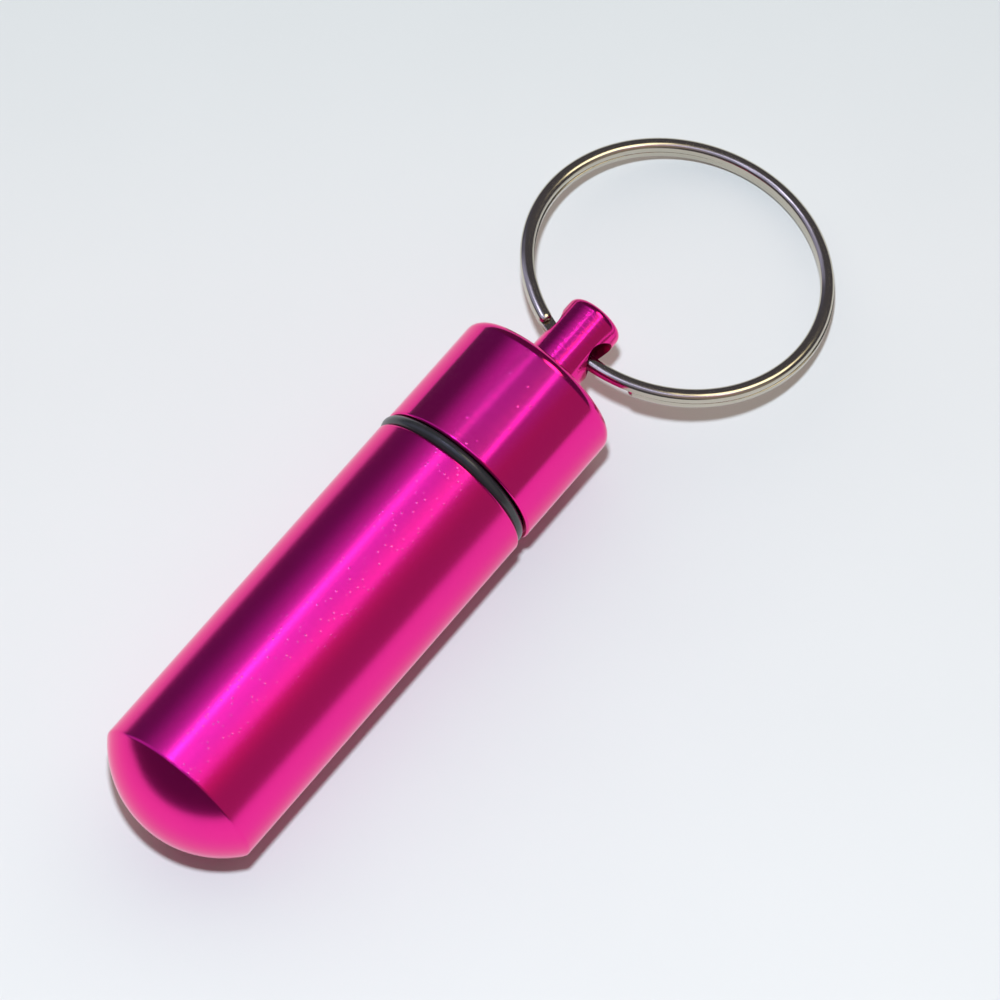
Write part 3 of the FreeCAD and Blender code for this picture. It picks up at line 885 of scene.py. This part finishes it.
class PILLFOB_OT_cap(bpy.types.Operator):
    """Screw cap with its inside thread, rounded head and drilled stem"""

    bl_idname = "pillfob.cap"
    bl_label = "Screw cap"

    def execute(self, context):
        sizes = context.scene.pillfob_capsule
        dye = tuple(context.scene.pillfob_colours.anodised)
        finishes = (
            anodised_material("anodised_cap", dye, 5200.0, 0.8 * UM, 0.10, 0.05),
            anodised_material("anodised_stem", dye, 4300.0, 14 * UM, 0.12, 0.0, break_up=900.0),
            # The hole's wall has its dye darkened to four tenths: painted shade inside the hole
            anodised_material("anodised_hole_painted_shade", scaled(dye, 0.4), 3300.0, 9 * UM, 0.35, 0.0),
        )
        outside = [
            (sizes.stem_end, 0.0, 0.0),
            (sizes.stem_end, sizes.stem_radius, sizes.stem_edge),
            (sizes.head, sizes.stem_radius, sizes.stem_root),
            (sizes.head, sizes.radius, sizes.head_edge),
            (sizes.rim, sizes.radius, sizes.rim_edge),
            (sizes.rim, sizes.cap_bore_radius + sizes.rim_lead_in, 0.0),
            (sizes.rim + sizes.rim_lead_in, sizes.cap_bore_radius, 0.0),
        ]
        inside = [
            (sizes.head_inside - CAP_RELIEF, sizes.cap_bore_radius, 0.0),
            (sizes.head_inside, sizes.cap_bore_radius, HEAD_INSIDE_EDGE),
            (sizes.head_inside, 0.0, 0.0),
        ]
        blank = turned_shell(
            "cap_shell", outside, inside, sizes, Land=CAP_LAND, Material=finishes[0], **CAP_THREAD,
        )
        mesh = self.drilled(blank, sizes)
        wear(mesh, finishes, lambda spot: self.finish_at(spot, sizes))
        shade(mesh, METAL_SHARP)
        turned_map(mesh)
        hand_over(new_piece("cap_shell", mesh, finishes[0]), "cap", "screw_cap")
        return {"FINISHED"}

    def from_hole(self, spot, sizes):
        """Where a point lies from the hole's axis, seen along it."""
        return Vector((spot.x - TIP_X - sizes.hole, spot.z - AXIS_Z))

    def finish_at(self, spot, sizes):
        """Place in the list of finishes: cap, stem or the hole's wall with its painted shade."""
        if spot.x - TIP_X < sizes.head + HEAD_MARGIN:
            return 0
        return 2 if self.from_hole(spot, sizes).length < sizes.hole_radius * FINISH_MARGIN else 1

    def drilled(self, mesh, sizes):
        """The cap's mesh with the cross hole cut through its stem and the hole's edges broken."""
        cutter_mesh = bpy.data.meshes.new("drill")
        middle = Matrix.Translation((TIP_X + sizes.hole, AXIS_Y, AXIS_Z))
        shape = bmesh.new()
        bmesh.ops.create_cone(
            shape, cap_ends=True, segments=HOLE_SIDES, radius1=sizes.hole_radius, radius2=sizes.hole_radius,
            depth=4 * sizes.stem_radius, matrix=middle @ Matrix.Rotation(math.pi / 2, 4, "X"),
        )
        shape.to_mesh(cutter_mesh)
        shape.free()
        cap = shown("cap_blank", mesh)
        cut = cap.modifiers.new("hole", "BOOLEAN")
        cut.operation = "DIFFERENCE"
        cut.solver = "MANIFOLD"
        cut.object = shown("drill", cutter_mesh)
        made = applied(cap)
        bpy.data.meshes.remove(cutter_mesh)
        shape = bmesh.new()
        shape.from_mesh(made)
        bmesh.ops.remove_doubles(shape, verts=shape.verts, dist=HOLE_MERGE)
        rim = [edge for edge in shape.edges if self.on_rim(edge, sizes)]
        bmesh.ops.bevel(
            shape, geom=rim, offset=sizes.hole_edge, offset_type="WIDTH", segments=3, profile=0.5,
            affect="EDGES", clamp_overlap=True,
        )
        shape.to_mesh(made)
        shape.free()
        return made

    def on_rim(self, edge, sizes):
        """True for an edge between the hole's wall and the stem's outside."""
        return len({self.in_hole(face, sizes) for face in edge.link_faces}) == 2

    def in_hole(self, face, sizes):
        """True for a face of the hole's wall."""
        across = self.from_hole(face.calc_center_median(), sizes)
        if across.length > sizes.hole_radius * WALL_MARGIN:
            return False
        wall = Vector((face.normal.x, face.normal.z))
        return wall.length > WALL_FACING and wall.dot(across) < 0


class PILLFOB_OT_split_ring(bpy.types.Operator):
    """Split ring of flattened wire through the stem's hole"""

    bl_idname = "pillfob.split_ring"
    bl_label = "Split ring"

    def execute(self, context):
        sizes = context.scene.pillfob_ring
        finish = nickel_material(tuple(context.scene.pillfob_colours.nickel))
        hole = math.pi - sizes.slew
        start = hole - sizes.upper_end
        end = hole + sizes.lower_end - 2 * FULL_TURN
        jog_start = start - (hole + sizes.jog - FULL_TURN)
        mesh = grown(
            wound_wire, Radius=sizes.radius, Start=start, Sweep=start - end,
            Jog_Start=jog_start, Jog_Sweep=2 * sizes.jog, Drop=sizes.wire_height + sizes.turn_gap,
            Wire_Width=sizes.wire_width, Wire_Height=sizes.wire_height, Cut_Edge=sizes.cut_edge,
            Taper=sizes.taper, Taper_Sweep=sizes.taper_sweep, Shift_X=sizes.shift_x, Shift_Y=sizes.shift_y,
            Steps=WIRE_STEPS, Material=finish,
        )
        mesh.transform(
            Matrix.Translation((sizes.centre_x, 0.0, sizes.centre_z)) @ Matrix.Rotation(sizes.lean, 4, "Y")
        )
        shape = bmesh.new()
        shape.from_mesh(mesh)
        close_up(shape, mesh)
        mesh.name = "split_ring_wire"
        shade(mesh, WIRE_SHARP)
        hand_over(new_piece("split_ring_wire", mesh, finish), "ring", "split_ring")
        return {"FINISHED"}


class PILLFOB_OT_stage(bpy.types.Operator):
    """Pale floor, room light, key light and camera"""

    bl_idname = "pillfob.stage"
    bl_label = "Stage"

    def execute(self, context):
        scene = context.scene
        settings = scene.pillfob_stage
        self.floor(scene, settings)
        self.room(scene, settings)
        self.key(settings)
        self.camera(scene, settings)
        scene.view_settings.view_transform = "Standard"
        return {"FINISHED"}

    def bearing(self, settings):
        """Level direction in which the camera looks."""
        return Vector((-math.sin(settings.azimuth), math.cos(settings.azimuth), 0.0))

    def floor(self, scene, settings):
        """Board that ends beyond the dome and on the capsule's far side, where the metal mirrors the room."""
        colours = scene.pillfob_colours
        end, edge, reach = -settings.floor_end, settings.floor_edge, FLOOR_REACH
        corners = [(end, -reach), (reach, -reach), (reach, edge), (end, edge)]
        mesh = bpy.data.meshes.new("floor")
        mesh.from_pydata([(x, y, 0.0) for x, y in corners], [], [(0, 1, 2, 3)])
        finish = floor_material(tuple(colours.floor), tuple(colours.far_floor), self.bearing(settings))
        floor = new_piece("floor", mesh, finish)
        floor.location.z = CAD_BOX[0].z - FLOOR_GAP

    def room(self, scene, settings):
        """Soft light on the stage, with a room for the metal to mirror."""
        world = bpy.data.worlds.new("room")
        scene.world = world
        world.use_nodes = True
        world.node_tree.nodes.clear()
        world.cycles.sampling_method = "NONE"
        way = Tree(world.node_tree)
        direction = way.node("ShaderNodeTexCoord").outputs["Generated"]

        # Most of the soft light comes from the far side, so the shadows on the near side stay deep
        strengths = [share * settings.fill for share in FILL_SHARES]
        soft = way.ramp(way.dot(direction, self.bearing(settings)), (*FILL_SIDES, *strengths))
        fill, mirrored, ground = (
            way.node("ShaderNodeBackground", Color=tone, Strength=strength).outputs[0]
            for tone, strength in (
                (FILL_TONE, soft), (self.mirrored_room(way, direction), 1.0), (GROUND_TONE, 1.0),
            )
        )

        # Mirroring surfaces see the room, also after one bounce off the floor; the camera sees pale ground
        ray = way.node("ShaderNodeLightPath").outputs
        direct = way.math("LESS_THAN", ray["Diffuse Depth"], 1.5)
        lit = way.node("ShaderNodeMixShader", None, way.times(ray["Is Glossy Ray"], direct), fill, mirrored)
        seen = way.node("ShaderNodeMixShader", None, ray["Is Camera Ray"], lit.outputs[0], ground)
        way.node("ShaderNodeOutputWorld", Surface=seen.outputs[0])

    def mirrored_room(self, way, direction):
        """Colour of the room in each direction: a ceiling with two lamp strips, between darker walls."""
        look = way.node("ShaderNodeSeparateXYZ", Vector=direction).outputs
        along = look["X"]
        across = way.math("ARCTAN2", way.times(look["Y"], -1.0), look["Z"])
        across = way.times(across, 180 / math.pi)

        # The ceiling and its edges slant, so they sit further over as the capsule goes on
        over = way.minus(way.times_plus(along, *CEILING_SLANT), way.ramp(along, CEILING_STEP))
        slid = way.minus(across, over)
        above = way.ramp(slid, CEILING_LEFT)
        level = way.blend(above, way.ramp(slid, LEFT_WALL), way.levels(along, CEILING))
        past_right = way.minus(across, way.ramp(along, CEILING_RIGHT, LINE))
        cool = way.levels(along, COOLNESS)
        ended = way.ramp(past_right, RIGHT_WALL_START)
        red = way.blend(way.ramp(past_right, RIGHT_WALL_RED_START), level, RIGHT_WALL[0])
        green = way.blend(ended, level, RIGHT_WALL[1])
        blue = way.blend(ended, way.times(level, cool), RIGHT_WALL[2])

        # Two lamp strips, brighter again beyond the cap, where the stem mirrors them
        beyond = way.levels(along, BEYOND_CAP)
        strips = []
        for strip in LAMP_STRIPS:
            apart = way.math("ABSOLUTE", way.minus(across, way.levels(along, strip["place"])))
            bright = way.plus(way.levels(along, strip["level"]), beyond)
            strips.append(way.times(way.ramp(apart, strip["edge"]), bright))
        lamps = way.plus(*strips)
        tint = way.node(
            "ShaderNodeCombineXYZ",
            X=way.plus(red, lamps), Y=way.plus(green, lamps), Z=way.times_plus(lamps, cool, blue),
        )
        within = way.ramp(way.math("ABSOLUTE", along), ROOM_ENDS)
        seen = way.mixed(within, ROOM_END_TONE, tint.outputs[0])

        # Warm lamp further down the room, which glints on the ring
        facing = way.dot(direction, Vector(RING_LAMP_SIDE).normalized())
        return way.mixed(way.ramp(facing, RING_LAMP_EDGE), seen, RING_LAMP_TONE)

    def key(self, settings):
        """Small lamp above the fob, at about the camera's height."""
        lamp = bpy.data.lights.new("key", "POINT")
        lamp.energy = settings.key_power
        lamp.shadow_soft_size = settings.key_radius
        lamp.color = KEY_TONE
        key = shown("key", lamp)
        key.location = settings.key_place
        key.visible_glossy = False

    def camera(self, scene, settings):
        """Camera on the photograph's line of sight."""
        data = bpy.data.cameras.new("camera")
        data.lens = settings.lens
        data.sensor_width = 36.0
        data.clip_start = 0.01
        data.clip_end = 20.0
        flat = math.cos(settings.elevation)
        back = Vector((
            math.sin(settings.azimuth) * flat,
            -math.cos(settings.azimuth) * flat,
            math.sin(settings.elevation),
        ))
        camera = shown("camera", data)
        camera.location = Vector(settings.target) + back * settings.distance
        camera.rotation_mode = "QUATERNION"
        camera.rotation_quaternion = (
            (-back).to_track_quat("-Z", "Y") @ Matrix.Rotation(settings.roll, 3, "Z").to_quaternion()
        )
        scene.camera = camera


class PILLFOB_PT_builder(bpy.types.Panel):
    """Sidebar panel with the steps and sizes of the pill fob"""

    bl_label = "Pill fob"
    bl_idname = "PILLFOB_PT_builder"
    bl_space_type = "VIEW_3D"
    bl_region_type = "UI"
    bl_category = "Pill fob"

    def draw(self, context):
        for step in STEPS:
            self.layout.operator(step.bl_idname)
        for name in GROUPS:
            box = self.layout.box()
            group = getattr(context.scene, name)
            for item in group.bl_rna.properties:
                if item.identifier not in ("rna_type", "name"):
                    box.prop(group, item.identifier)


STEPS = (PILLFOB_OT_barrel, PILLFOB_OT_seal, PILLFOB_OT_cap, PILLFOB_OT_split_ring, PILLFOB_OT_stage)
GROUPS = {
    "pillfob_capsule": CapsuleSizes,
    "pillfob_ring": RingSizes,
    "pillfob_colours": FinishColours,
    "pillfob_stage": StageSettings,
}


def register():
    for item in (*GROUPS.values(), *STEPS, PILLFOB_PT_builder):
        bpy.utils.register_class(item)
    for name, group in GROUPS.items():
        setattr(bpy.types.Scene, name, bpy.props.PointerProperty(type=group))


def unregister():
    for name in GROUPS:
        delattr(bpy.types.Scene, name)
    for item in reversed((*GROUPS.values(), *STEPS, PILLFOB_PT_builder)):
        bpy.utils.unregister_class(item)


def main():
    register()
    for step in STEPS:
        group, name = step.bl_idname.split(".")
        getattr(getattr(bpy.ops, group), name)()


if __name__ == "__main__":
    main()
